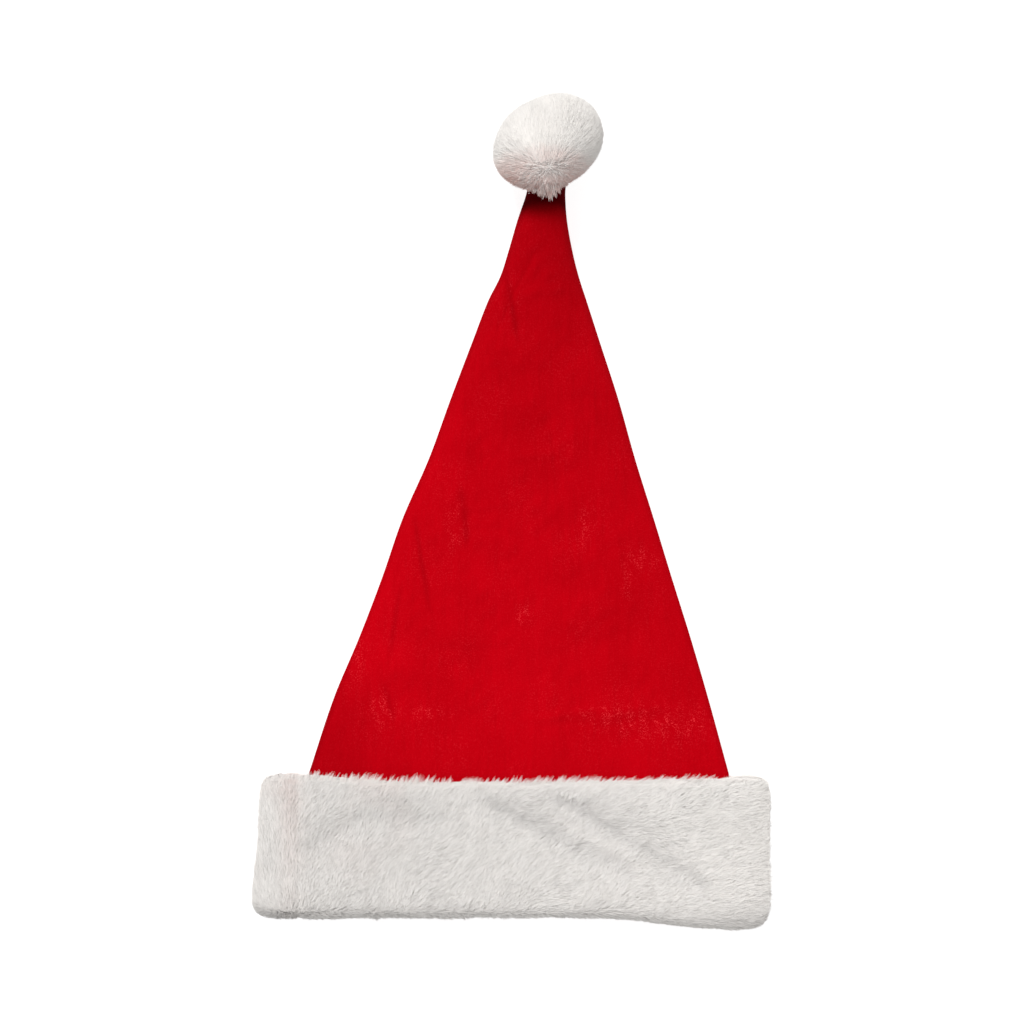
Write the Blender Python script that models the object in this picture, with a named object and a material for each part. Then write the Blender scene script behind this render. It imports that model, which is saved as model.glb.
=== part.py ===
"""A cone hat of red velour with a white plush cuff and a fur pompom, lying flat.

Metres, +Z up. The hat lies on z = 0 with its tip towards +Y. The origin is on the
surface that it lies on, below the middle of the cuff.
"""

import math
from collections import namedtuple

import bmesh
import bpy
from mathutils import Matrix, Vector

# The plush cuff, as it lies
BAND_WIDTH = 0.2965  # across, over the fur at its two side folds
BAND_DEPTH = 0.081  # from its lower edge to its upper edge
PLUSH = 0.009  # thickness of backing and pile, above the crown
PLUSH_PRESSED = 0.004  # the same where the hat's weight presses it flat
BAND_FOLD_HEIGHT = 0.0125  # of its side folds above the surface
BAND_FOLD_RADIUS = 0.014  # of its underside where it turns up into a side fold
BAND_LOCK = 0.0022  # how far a lock of pile stands out
UPPER_TUFT = 0.0045  # how far the tufts of the upper edge reach over the crown

# The crown of cloth
CLOTH = 0.0016  # thickness of the velour
CROWN_LENGTH = 0.342  # from the cuff's upper edge to the tip
CROWN_WIDTH = 0.2426  # where it leaves the cuff
RIM_EASE = 0.004  # between its side folds and the cuff's wall, at its rim
MOUTH_GAP = 0.015  # height of the free space between its two layers
FOLD_HEIGHT = 0.0045  # of its side folds above its underside
FOLD_RADIUS = 0.005  # of its underside where it turns up into a side fold
HEM_INSET = 0.008  # from the cuff's lower edge in to the crown's rim

# The pompom
POMPOM_ACROSS = 0.0625
POMPOM_ALONG = 0.056
POMPOM_HEIGHT = 0.057
POMPOM_TURN = math.radians(18)  # of its long axis, seen from above
POMPOM_LOCK = 0.0042  # how far a lock stands out of the head
SEAT_SHARE = 0.9  # how far out on the head its flat seat lies
TIP_PITCH = math.radians(18)  # how steeply the crown's tip rises to the seat

SEAM_GAP = 0.0003  # between pieces that touch
FLOOR_GAP = 0.0003  # under the crown, which the cuff and the pompom carry

# How many points and rings each surface gets
CROWN_STEPS = 28  # over its upper side
CROWN_HIDDEN_RINGS = 3  # inside the cuff
CROWN_RINGS = 20  # from the cuff to the tip
BAND_STEPS = 42  # over its upper side
TURN_STEPS = 4  # round each fold of an underside
FLAT_STEPS = 3  # across the flat of an underside

# The crown from the cuff's upper edge (along 0) to the tip (along 1). centre and
# width are shares of CROWN_WIDTH, depth is one of the crown's depth in the cuff.
# on_cuff is how much of the cuff's thickness still lifts it, on_ball how much of the
# tip's height it has reached, and pitch how much of TIP_PITCH it leans.
CrownRow = namedtuple("CrownRow", "along centre width depth on_cuff on_ball pitch")
CROWN_ROWS = [
    CrownRow(0.000, 0.019, 1.000, 1.00, 1.00, 0.00, 0.0),
    CrownRow(0.130, 0.024, 0.892, 0.99, 0.14, 0.00, 0.0),
    CrownRow(0.230, 0.033, 0.792, 0.97, 0.00, 0.00, 0.0),
    CrownRow(0.331, 0.038, 0.693, 0.95, 0.00, 0.00, 0.0),
    CrownRow(0.432, 0.041, 0.600, 0.93, 0.00, 0.00, 0.0),
    CrownRow(0.533, 0.050, 0.493, 0.91, 0.00, 0.00, 0.0),
    CrownRow(0.634, 0.056, 0.401, 0.89, 0.00, 0.00, 0.0),
    CrownRow(0.735, 0.060, 0.301, 0.86, 0.00, 0.00, 0.0),
    CrownRow(0.802, 0.063, 0.235, 0.82, 0.00, 0.06, 0.3),
    CrownRow(0.844, 0.068, 0.187, 0.77, 0.00, 0.18, 0.6),
    CrownRow(0.886, 0.070, 0.153, 0.70, 0.00, 0.38, 0.9),
    CrownRow(0.937, 0.074, 0.118, 0.62, 0.00, 0.68, 1.0),
    CrownRow(0.979, 0.082, 0.093, 0.56, 0.00, 0.91, 1.0),
    CrownRow(1.000, 0.086, 0.089, 0.55, 0.00, 1.00, 1.0),
]

# The cuff's plan outline. across is a share of BAND_WIDTH, the edges of BAND_DEPTH.
EdgeRow = namedtuple("EdgeRow", "across lower upper")
EDGE_ROWS = [
    EdgeRow(-0.50, -0.495, 0.505),
    EdgeRow(-0.38, -0.490, 0.512),
    EdgeRow(-0.27, -0.480, 0.485),
    EdgeRow(0.05, -0.478, 0.480),
    EdgeRow(0.20, -0.485, 0.490),
    EdgeRow(0.33, -0.545, 0.502),
    EdgeRow(0.42, -0.572, 0.505),
    EdgeRow(0.50, -0.580, 0.510),
]
# Its two sides, from the lower edge (up 0) to the upper one, as shares of BAND_WIDTH
SideRow = namedtuple("SideRow", "up left right")
SIDE_ROWS = [
    SideRow(0.00, -0.488, 0.482),
    SideRow(0.10, -0.501, 0.498),
    SideRow(0.50, -0.493, 0.500),
    SideRow(0.88, -0.484, 0.499),
    SideRow(1.00, -0.466, 0.487),
]

# The cuff's wall, cut through: up its outer skin, over its upper edge, down its inner
# skin and under its lower edge. inward is 0 on the outer skin and 1 on the inner one.
WallRow = namedtuple("WallRow", "up inward")
WALL_ROWS = [
    WallRow(0.040, 0.0),
    WallRow(0.132, 0.0),
    WallRow(0.224, 0.0),
    WallRow(0.316, 0.0),
    WallRow(0.408, 0.0),
    WallRow(0.500, 0.0),
    WallRow(0.592, 0.0),
    WallRow(0.684, 0.0),
    WallRow(0.776, 0.0),
    WallRow(0.868, 0.0),
    WallRow(0.960, 0.0),
    WallRow(1.000, 0.3),
    WallRow(1.000, 0.7),
    WallRow(0.960, 1.0),
    WallRow(0.500, 1.0),
    WallRow(0.040, 1.0),
    WallRow(0.000, 0.7),
    WallRow(0.000, 0.3),
]

# Valleys pressed into the cuff's upper side, each along a line. across is a share of
# BAND_WIDTH, up and width are shares of BAND_DEPTH, depth is one of PLUSH.
Dent = namedtuple("Dent", "across up to_across to_up width depth")
BAND_DENTS = [
    Dent(-0.05, 0.81, 0.11, 0.50, 0.11, 0.36),
    Dent(0.11, 0.50, 0.21, 0.35, 0.11, 0.26),
    Dent(0.08, 0.84, 0.24, 0.51, 0.12, 0.38),
    Dent(0.24, 0.51, 0.36, 0.24, 0.12, 0.40),
    Dent(-0.40, 0.48, -0.29, 0.70, 0.12, 0.24),
    Dent(-0.29, 0.70, -0.14, 0.68, 0.14, 0.26),
]
# Soft folds of the crown's upper layer. across and width are shares of CROWN_WIDTH,
# along of CROWN_LENGTH and height of MOUTH_GAP. A height below 0 is a valley.
Fold = namedtuple("Fold", "across along to_across to_along width height")
CROWN_FOLDS = [
    Fold(0.12, 0.20, 0.46, 0.26, 0.055, -0.10),
    Fold(0.16, 0.12, 0.42, 0.11, 0.050, 0.08),
    Fold(-0.40, 0.16, -0.22, 0.20, 0.050, 0.08),
    Fold(-0.24, 0.44, -0.18, 0.28, 0.040, -0.10),
    Fold(-0.17, 0.48, -0.10, 0.24, 0.040, 0.08),
    Fold(-0.08, 0.57, -0.05, 0.42, 0.040, -0.08),
    Fold(0.28, 0.44, 0.27, 0.30, 0.040, 0.08),
    Fold(-0.02, 0.84, 0.02, 0.64, 0.035, -0.08),
]

# Which way the cuff's pile lies, seen from above and counted from +X. From the seam
# at its left end to its right side the pile turns from upright to nearly level.
PileRow = namedtuple("PileRow", "across angle")
PILE_ROWS = [
    PileRow(-0.50, math.radians(80)),
    PileRow(-0.38, math.radians(62)),
    PileRow(0.00, math.radians(45)),
    PileRow(0.50, math.radians(22)),
]

# How round a flattened tube is on top: across is cut off to the power of square, and
# the whole is raised to the power of rise.
Arch = namedtuple("Arch", "square rise")
CROWN_ARCH = Arch(2.6, 0.75)
BAND_ARCH = Arch(4.0, 0.6)

# Sizes that follow from those above
BAND_TOP = BAND_DEPTH / 2
RIM_WIDTH = BAND_WIDTH - 2 * (BAND_LOCK + PLUSH + RIM_EASE)  # level with its lower edge
CROWN_DEPTH = MOUTH_GAP + 2 * CLOTH
CUFF_LIFT = PLUSH_PRESSED + SEAM_GAP
BAND_HEIGHT = CUFF_LIFT + CROWN_DEPTH + SEAM_GAP + PLUSH
HEAD = Vector((POMPOM_ACROSS, POMPOM_ALONG, POMPOM_HEIGHT)) / 2 - Vector((POMPOM_LOCK,) * 3)
SEAT = HEAD.y * SEAT_SHARE  # from the pompom's middle to its flat seat
TIP_HALF = CROWN_DEPTH * CROWN_ROWS[-1].depth / 2
TIP_LIFT = (
    POMPOM_HEIGHT / 2
    - math.sin(TIP_PITCH) * (SEAT + SEAM_GAP)
    - math.cos(TIP_PITCH) * TIP_HALF
)


def smooth(rows, column, place):
    """The value of a table's column at a place of its first column, on a smooth curve."""
    knots = [row[0] for row in rows]
    values = [getattr(row, column) for row in rows]
    place = min(max(place, knots[0]), knots[-1])
    last = len(rows) - 1
    i = min(max(k for k, knot in enumerate(knots) if knot <= place), last - 1)

    def slope(k):
        before, after = max(k - 1, 0), min(k + 1, last)
        return (values[after] - values[before]) / (knots[after] - knots[before])

    span = knots[i + 1] - knots[i]
    t = (place - knots[i]) / span
    rise = values[i + 1] - values[i]
    start, end = slope(i) * span, slope(i + 1) * span
    return values[i] + t * (start + t * (3 * rise - 2 * start - end + t * (start + end - 2 * rise)))


def near_line(point, start, end, width):
    """1 on the line from start to end, falling off to its sides and towards its ends."""
    line = end - start
    share = min(max((point - start).dot(line) / line.length_squared, 0.0), 1.0)
    fade = 1 - 0.6 * (2 * share - 1) ** 4
    return fade * math.exp(-(((point - start - share * line).length / width) ** 2))


def tube(half, height, fold_height, fold_radius, arch, steps):
    """The points round a flattened tube on z = 0, as (x, z, how much of its top).

    They run from the left fold over the top, then back along the flat underside.
    """
    points = []
    for k in range(steps):
        even = 2 * k / steps - 1
        across = 1.08 * even - 0.08 * even**9  # closer together at the folds
        top = (1 - abs(across) ** arch.square) ** arch.rise
        points.append((across * half, fold_height + (height - fold_height) * top, top))
    radius = min(fold_radius, half / 2)
    turn = []
    for k in range(TURN_STEPS + 1):
        angle = k / TURN_STEPS * math.pi / 2
        inset = radius * (1 - math.cos(angle))
        turn.append((half - inset, fold_height * (1 - math.sin(angle)), 0.0))
    points += turn
    for k in range(1, FLAT_STEPS):
        points.append(((half - radius) * (1 - 2 * k / FLAT_STEPS), 0.0, 0.0))
    points += [(-x, z, top) for x, z, top in reversed(turn[1:])]
    return points


def skin(rings, closed):
    """A surface through rings of points, and its faces by ring and by step.

    A closed run of rings meets itself, an open one gets a flat end at both ends.
    """
    bm = bmesh.new()
    rows = [[bm.verts.new(point) for point in ring] for ring in rings]
    pairs = list(zip(rows, rows[1:]))
    if closed:
        pairs.append((rows[-1], rows[0]))
    else:
        bm.faces.new(rows[0])
        bm.faces.new(rows[-1])
    faces = []
    for one, other in pairs:
        after = [*range(1, len(one)), 0]
        faces.append(
            [bm.faces.new((one[k], one[n], other[n], other[k])) for k, n in enumerate(after)]
        )
    bmesh.ops.recalc_face_normals(bm, faces=bm.faces)
    return bm, faces


def raise_locks(bm, faces, tip_of):
    """Draws each face out to a lock of pile, whose tip tip_of gives."""
    bm.normal_update()
    tips = [tip_of(face.calc_center_median(), face.normal.copy()) for face in faces]
    for face, tip in zip(faces, tips):
        made = bmesh.ops.poke(bm, faces=[face])
        made["verts"][0].co = tip


def finish(name, bm, colour, roughness):
    """Makes a surface a piece of its own, with its material."""
    mesh = bpy.data.meshes.new(name)
    bm.to_mesh(mesh)
    bm.free()
    piece = bpy.data.objects.new(name, mesh)
    bpy.context.scene.collection.objects.link(piece)
    material = bpy.data.materials.new(name)
    material.use_nodes = True
    shader = material.node_tree.nodes["Principled BSDF"]
    shader.inputs["Base Color"].default_value = (*colour, 1.0)
    shader.inputs["Roughness"].default_value = roughness
    mesh.materials.append(material)
    mesh.shade_smooth()
    mesh.set_sharp_from_angle(angle=math.radians(50))


def varied(centre):
    """A lock's length, as a share of the usual one, by a fixed rule of its place."""
    return 1 + 0.25 * math.sin(centre.x * 2100 + centre.y * 1700 + centre.z * 1900)


# The crown
def crown_fold(x, y):
    """How far the folds lift or press the upper layer at a place."""
    point = Vector((x, y))
    lift = 0.0
    for fold in CROWN_FOLDS:
        start = Vector((fold.across * CROWN_WIDTH, BAND_TOP + fold.along * CROWN_LENGTH))
        end = Vector((fold.to_across * CROWN_WIDTH, BAND_TOP + fold.to_along * CROWN_LENGTH))
        lift += fold.height * MOUTH_GAP * near_line(point, start, end, fold.width * CROWN_WIDTH)
    return lift


def crown_ring(place, inset, steps):
    """The crown's loop at a place: -1 to 0 in the cuff, 0 to 1 from there to the tip.

    inset is how far inside the crown's outer surface the loop lies.
    """
    along, in_cuff = max(place, 0.0), -min(place, 0.0)
    width, centre, depth, on_cuff, on_ball, pitch = (
        smooth(CROWN_ROWS, column, along)
        for column in ("width", "centre", "depth", "on_cuff", "on_ball", "pitch")
    )
    half = (width * CROWN_WIDTH + (RIM_WIDTH - CROWN_WIDTH) * in_cuff) / 2 - inset
    middle = centre * CROWN_WIDTH * (1 - in_cuff)
    base = FLOOR_GAP + on_cuff * (CUFF_LIFT - FLOOR_GAP) + on_ball * (TIP_LIFT - FLOOR_GAP)
    top = CROWN_DEPTH * depth
    fold_height = min(FOLD_HEIGHT, top / 2)
    loop = tube(
        half, top - 2 * inset, fold_height - inset, FOLD_RADIUS - inset, CROWN_ARCH, steps
    )
    lean = TIP_PITCH * pitch
    ring = []
    for x, z, on_top in loop:
        x += middle
        # The wave of the cuff's edges runs through the cuff and fades out beyond it.
        y = band_y(x, 1 - in_cuff)
        y += along * CROWN_LENGTH + (BAND_TOP - y) * min(along * 5, 1.0)
        z += inset + crown_fold(x, y) * on_top * min(along * 10, 1.0)
        ring.append(Vector((x, y - math.sin(lean) * z, base + math.cos(lean) * z)))
    return ring


def crown():
    """A cloth cone, flattened, open at its rim and sewn shut at its tip."""
    rim = 1 - HEM_INSET / BAND_DEPTH
    places = [-rim * (1 - k / CROWN_HIDDEN_RINGS) for k in range(CROWN_HIDDEN_RINGS)]
    places += [k / CROWN_RINGS for k in range(CROWN_RINGS)]
    outside = [crown_ring(place, 0.0, CROWN_STEPS) for place in places + [1.0]]
    end_wall = 1 - CLOTH / CROWN_LENGTH
    inside = [crown_ring(place, CLOTH, CROWN_STEPS) for place in places + [end_wall]]
    bm, _ = skin(outside[::-1] + inside, closed=False)
    finish("crown", bm, (0.52, 0.003, 0.008), 0.8)


# The cuff
def band_y(x, up):
    """How far along the hat a share of the cuff's depth lies, at a place across it."""
    lower, upper = (smooth(EDGE_ROWS, edge, x / BAND_WIDTH) for edge in ("lower", "upper"))
    return BAND_DEPTH * (lower + up * (upper - lower))


def band_dent(x, up):
    """How deep the cuff's upper side is pressed in at a place."""
    point = Vector((x, up * BAND_DEPTH))
    depth = 0.0
    for dent in BAND_DENTS:
        start = Vector((dent.across * BAND_WIDTH, dent.up * BAND_DEPTH))
        end = Vector((dent.to_across * BAND_WIDTH, dent.to_up * BAND_DEPTH))
        share = near_line(point, start, end, dent.width * BAND_DEPTH)
        depth = max(depth, dent.depth * PLUSH * share)
    return depth


def band_ring(row):
    """The loop of points round the cuff at one place of its wall."""
    left, right = (smooth(SIDE_ROWS, side, row.up) * BAND_WIDTH for side in ("left", "right"))
    half = (right - left) / 2 - BAND_LOCK
    outer = tube(half, BAND_HEIGHT, BAND_FOLD_HEIGHT, BAND_FOLD_RADIUS, BAND_ARCH, BAND_STEPS)
    inner = crown_ring(row.up - 1, -SEAM_GAP, BAND_STEPS)
    ring = []
    for (x, z, on_top), within in zip(outer, inner):
        x += (left + right) / 2
        z -= on_top * band_dent(x, row.up)
        x += (within.x - x) * row.inward
        z += (within.z - z) * row.inward
        ring.append((x, band_y(x, row.up), z))
    return ring


def band_lock_tip(centre, normal):
    """Where a lock of the cuff ends: out of the skin, and over, the way the pile lies."""
    length = BAND_LOCK * varied(centre)
    angle = smooth(PILE_ROWS, "angle", centre.x / BAND_WIDTH)
    angle += varied(centre * 3) * 2 - 2
    over = Vector((math.cos(angle), math.sin(angle), 0)) * length
    tip = centre + normal * length + over - normal * over.dot(normal)
    if normal.y > 0.4:
        tip.y += (UPPER_TUFT - BAND_LOCK) * varied(centre * 2)
    tip.z = max(tip.z, 0.0)
    return tip


def band():
    """A padded loop of plush, flattened, whose underside is pressed flat where it lies."""
    bm, faces = skin([band_ring(row) for row in WALL_ROWS], closed=True)
    piled = []
    for row, after, loop in zip(WALL_ROWS, WALL_ROWS[1:] + WALL_ROWS[:1], faces):
        if row.inward + after.inward < 1.5:
            # Over the top, and down both side folds to where they lie on the surface.
            piled += loop[: BAND_STEPS + 2] + loop[-2:]
    raise_locks(bm, piled, band_lock_tip)
    finish("band", bm, (0.82, 0.82, 0.80), 0.9)


# The pompom
def honeycomb(subdivisions, turn_and_stretch):
    """A ball of five and six-sided faces, one round each corner of a triangled ball."""
    ball = bmesh.new()
    bmesh.ops.create_icosphere(ball, subdivisions=subdivisions, radius=1.0)
    cells = bmesh.new()
    middles = {
        face: cells.verts.new(turn_and_stretch @ face.calc_center_median().normalized())
        for face in ball.faces
    }
    for vert in ball.verts:
        loop = vert.link_loops[0]
        corners = []
        for _ in vert.link_loops:
            corners.append(middles[loop.face])
            loop = loop.link_loop_prev.link_loop_radial_next
        cells.faces.new(corners)
    ball.free()
    bmesh.ops.recalc_face_normals(cells, faces=cells.faces)
    return cells


def pompom():
    """A head with locks of fur all round, a flat seat for the crown's tip and a flat rest."""
    to_tip = Vector((0, -math.cos(TIP_PITCH), -math.sin(TIP_PITCH)))
    tip_middle = Vector((
        CROWN_ROWS[-1].centre * CROWN_WIDTH,
        BAND_TOP + CROWN_LENGTH - math.sin(TIP_PITCH) * TIP_HALF,
        TIP_LIFT + math.cos(TIP_PITCH) * TIP_HALF,
    ))
    middle = tip_middle - to_tip * (SEAT + SEAM_GAP)
    # The pile parts at a whorl on the upper side, towards the crown.
    whorl = Vector((0, -0.5, 0.86)).normalized()
    clear = Vector((CROWN_ROWS[-1].width * CROWN_WIDTH / 2, TIP_HALF)) * 1.25

    def rested(point):
        """The point kept above the surface and off the crown's tip."""
        beside = Vector((point.x / clear.x, (point - to_tip * point.dot(to_tip)).z / clear.y))
        if beside.length < 1.0 or point.z < 0:
            point = point - to_tip * max(point.dot(to_tip) - SEAT, 0.0)
        return Vector((point.x, point.y, max(point.z, -middle.z)))

    def tip_of(centre, normal):
        on_seat = centre.dot(to_tip) > SEAT * 0.995
        length = 0.0 if on_seat else POMPOM_LOCK * varied(centre)
        over = centre.normalized() - whorl
        over -= normal * over.dot(normal)
        return rested(centre + normal * length + over.normalized() * length * 0.6)

    stretch = Matrix.Diagonal((*HEAD, 1.0))
    bm = honeycomb(4, Matrix.Rotation(POMPOM_TURN, 4, "Z") @ stretch)
    for vert in bm.verts:
        vert.co -= to_tip * max(vert.co.dot(to_tip) - SEAT, 0.0)
        vert.co.z = max(vert.co.z, -middle.z)
    raise_locks(bm, list(bm.faces), tip_of)
    bmesh.ops.translate(bm, verts=bm.verts, vec=middle)
    finish("pompom", bm, (0.83, 0.81, 0.78), 0.9)


def main():
    for old in list(bpy.data.objects):
        bpy.data.objects.remove(old)
    crown()
    band()
    pompom()


main()
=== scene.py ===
"""The santa hat, dressed: velour crown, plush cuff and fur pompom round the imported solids."""

import math
from collections import namedtuple

import bpy
import numpy as np
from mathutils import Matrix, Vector, kdtree


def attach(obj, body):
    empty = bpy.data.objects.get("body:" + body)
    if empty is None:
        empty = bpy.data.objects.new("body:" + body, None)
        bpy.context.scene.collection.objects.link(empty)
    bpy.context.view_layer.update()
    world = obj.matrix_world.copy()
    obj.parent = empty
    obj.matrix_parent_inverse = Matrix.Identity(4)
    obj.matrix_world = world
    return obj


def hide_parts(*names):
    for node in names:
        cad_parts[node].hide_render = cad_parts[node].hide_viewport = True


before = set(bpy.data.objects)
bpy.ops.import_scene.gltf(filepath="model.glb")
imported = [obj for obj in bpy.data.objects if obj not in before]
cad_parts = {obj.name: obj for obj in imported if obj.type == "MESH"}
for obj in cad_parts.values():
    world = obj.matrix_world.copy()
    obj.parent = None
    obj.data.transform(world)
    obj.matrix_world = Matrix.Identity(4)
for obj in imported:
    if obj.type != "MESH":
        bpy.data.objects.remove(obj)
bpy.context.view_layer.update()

# The hat's sizes, in metres, as the solids have them
BAND_WIDTH = 0.2965
BAND_DEPTH = 0.081
PLUSH = 0.009
PLUSH_PRESSED = 0.004
BAND_FOLD_HEIGHT = 0.0125
BAND_FOLD_RADIUS = 0.014
BAND_LOCK = 0.0022
CLOTH = 0.0016
CROWN_LENGTH = 0.342
CROWN_WIDTH = 0.2426
RIM_EASE = 0.004
MOUTH_GAP = 0.015
FOLD_HEIGHT = 0.0045
FOLD_RADIUS = 0.005
HEM_INSET = 0.008
POMPOM_ACROSS = 0.0625
POMPOM_ALONG = 0.056
POMPOM_HEIGHT = 0.057
POMPOM_TURN = math.radians(18)
POMPOM_LOCK = 0.0042
SEAT_SHARE = 0.9
TIP_PITCH = math.radians(18)
SEAM_GAP = 0.0003
FLOOR_GAP = 0.0003

# The crown from the cuff to its tip, in shares of its length, width and depth
CrownRow = namedtuple("CrownRow", "along centre width depth on_cuff on_ball pitch")
CROWN_ROWS = [
    CrownRow(0.000, 0.019, 1.000, 1.00, 1.00, 0.00, 0.0),
    CrownRow(0.130, 0.024, 0.892, 0.99, 0.14, 0.00, 0.0),
    CrownRow(0.230, 0.033, 0.792, 0.97, 0.00, 0.00, 0.0),
    CrownRow(0.331, 0.038, 0.693, 0.95, 0.00, 0.00, 0.0),
    CrownRow(0.432, 0.041, 0.600, 0.93, 0.00, 0.00, 0.0),
    CrownRow(0.533, 0.050, 0.493, 0.91, 0.00, 0.00, 0.0),
    CrownRow(0.634, 0.056, 0.401, 0.89, 0.00, 0.00, 0.0),
    CrownRow(0.735, 0.060, 0.301, 0.86, 0.00, 0.00, 0.0),
    CrownRow(0.802, 0.063, 0.235, 0.82, 0.00, 0.06, 0.3),
    CrownRow(0.844, 0.068, 0.187, 0.77, 0.00, 0.18, 0.6),
    CrownRow(0.886, 0.070, 0.153, 0.70, 0.00, 0.38, 0.9),
    CrownRow(0.937, 0.074, 0.118, 0.62, 0.00, 0.68, 1.0),
    CrownRow(0.979, 0.082, 0.093, 0.56, 0.00, 0.91, 1.0),
    CrownRow(1.000, 0.086, 0.089, 0.55, 0.00, 1.00, 1.0),
]
# The cuff's outline, in shares of its width and depth, a little fuller than the solid's
EdgeRow = namedtuple("EdgeRow", "across lower upper")
EDGE_ROWS = [
    EdgeRow(-0.50, -0.495, 0.516),
    EdgeRow(-0.38, -0.490, 0.512),
    EdgeRow(-0.27, -0.480, 0.485),
    EdgeRow(0.05, -0.478, 0.480),
    EdgeRow(0.20, -0.485, 0.490),
    EdgeRow(0.33, -0.545, 0.502),
    EdgeRow(0.42, -0.572, 0.505),
    EdgeRow(0.50, -0.580, 0.518),
]
SideRow = namedtuple("SideRow", "up left right")
SIDE_ROWS = [
    SideRow(0.00, -0.496, 0.493),
    SideRow(0.10, -0.507, 0.505),
    SideRow(0.50, -0.498, 0.506),
    SideRow(0.88, -0.492, 0.506),
    SideRow(1.00, -0.483, 0.497),
]
# The cuff's dents and the crown's broad folds, each along a line
Dent = namedtuple("Dent", "across up to_across to_up width depth")
BAND_DENTS = [
    Dent(-0.05, 0.81, 0.11, 0.50, 0.11, 0.36),
    Dent(0.11, 0.50, 0.21, 0.35, 0.11, 0.26),
    Dent(0.08, 0.84, 0.24, 0.51, 0.12, 0.38),
    Dent(0.24, 0.51, 0.36, 0.24, 0.12, 0.40),
    Dent(-0.40, 0.48, -0.29, 0.70, 0.12, 0.24),
    Dent(-0.29, 0.70, -0.14, 0.68, 0.14, 0.26),
]
Fold = namedtuple("Fold", "across along to_across to_along width height")
CROWN_FOLDS = [
    Fold(0.12, 0.20, 0.46, 0.26, 0.055, -0.10),
    Fold(0.16, 0.12, 0.42, 0.11, 0.050, 0.08),
    Fold(-0.40, 0.16, -0.22, 0.20, 0.050, 0.08),
    Fold(-0.24, 0.44, -0.18, 0.28, 0.040, -0.10),
    Fold(-0.17, 0.48, -0.10, 0.24, 0.040, 0.08),
    Fold(-0.08, 0.57, -0.05, 0.42, 0.040, -0.08),
    Fold(0.28, 0.44, 0.27, 0.30, 0.040, 0.08),
    Fold(-0.02, 0.84, 0.02, 0.64, 0.035, -0.08),
]
# Fine creases in the crown's cloth, in metres, which the solid doesn't have
Crease = namedtuple("Crease", "x y to_x to_y width height")
CREASES = [
    Crease(-0.0558, 0.1875, -0.0466, 0.1346, 0.0016, -0.0007),
    Crease(-0.0530, 0.1880, -0.0440, 0.1370, 0.0016, 0.0005),
    Crease(-0.0288, 0.2050, -0.0253, 0.1740, 0.0022, -0.0006),
    Crease(-0.0850, 0.1200, -0.0805, 0.0794, 0.0018, 0.0005),
    Crease(-0.0725, 0.0920, -0.0680, 0.0730, 0.0016, -0.0006),
    Crease(0.0100, 0.0765, 0.1000, 0.0800, 0.0026, 0.0004),
    Crease(0.0230, 0.0700, 0.0900, 0.0720, 0.0026, -0.0003),
    Crease(0.0673, 0.1708, 0.0719, 0.1420, 0.0018, 0.0006),
    Crease(0.0437, 0.2050, 0.0466, 0.1740, 0.0020, 0.0004),
    Crease(-0.0030, 0.3300, 0.0040, 0.2900, 0.0016, -0.0005),
    Crease(-0.0640, 0.1480, -0.0700, 0.1100, 0.0018, -0.0004),
    Crease(0.0040, 0.1500, 0.0080, 0.1250, 0.0016, 0.0005),
]
# How square the arch of an upper layer is, and how steeply it rises
Arch = namedtuple("Arch", "square rise")
CROWN_ARCH = Arch(2.6, 0.75)
BAND_ARCH = Arch(4.0, 0.6)

# The way the cuff's pile lies, counted from +X, from its left side to its right one
PileRow = namedtuple("PileRow", "across angle")
PILE_ROWS = [
    PileRow(-0.50, math.radians(115)),
    PileRow(-0.44, math.radians(92)),
    PileRow(-0.40, math.radians(66)),
    PileRow(-0.36, math.radians(58)),
    PileRow(-0.15, math.radians(50)),
    PileRow(0.05, math.radians(42)),
    PileRow(0.25, math.radians(26)),
    PileRow(0.50, math.radians(12)),
]
SEAM_ACROSS = -0.413  # of the cuff's joining seam, as a share of BAND_WIDTH

# Where the pile stands in tall wisps over the crown, along the cuff's upper edge
WispRow = namedtuple("WispRow", "across reach often")
WISP_ROWS = [
    WispRow(-0.48, 0.0010, 0.2),
    WispRow(-0.39, 0.0060, 0.9),
    WispRow(-0.34, 0.0048, 0.5),
    WispRow(-0.30, 0.0062, 1.0),
    WispRow(-0.24, 0.0056, 0.9),
    WispRow(-0.18, 0.0062, 1.0),
    WispRow(-0.12, 0.0050, 0.9),
    WispRow(-0.06, 0.0046, 0.9),
    WispRow(0.02, 0.0054, 0.9),
    WispRow(0.08, 0.0056, 0.9),
    WispRow(0.20, 0.0050, 0.9),
    WispRow(0.34, 0.0052, 0.9),
    WispRow(0.40, 0.0036, 0.7),
    WispRow(0.48, 0.0010, 0.2),
]
# Where the velour's pile is brushed up and carries painted sheen, in metres from the origin
BrushedSheen = namedtuple("BrushedSheen", "x y width length share")
BRUSHED_SHEEN = [
    BrushedSheen(0.0845, 0.0700, 0.025, 0.0085, 1.0),
    BrushedSheen(0.0580, 0.0745, 0.018, 0.004, 0.8),
    BrushedSheen(-0.0742, 0.0780, 0.006, 0.008, 1.0),
    BrushedSheen(-0.0490, 0.0770, 0.014, 0.003, 0.6),
    BrushedSheen(0.0765, 0.1650, 0.008, 0.006, 0.8),
    BrushedSheen(0.0675, 0.1520, 0.003, 0.010, 0.7),
    BrushedSheen(0.0420, 0.1830, 0.003, 0.010, 0.6),
    BrushedSheen(0.0069, 0.1325, 0.003, 0.005, 0.9),
    BrushedSheen(-0.0316, 0.1820, 0.006, 0.012, 0.5),
    BrushedSheen(-0.0900, 0.1090, 0.006, 0.018, 0.5),
    BrushedSheen(0.0020, 0.3180, 0.003, 0.014, 0.4),
]

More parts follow.
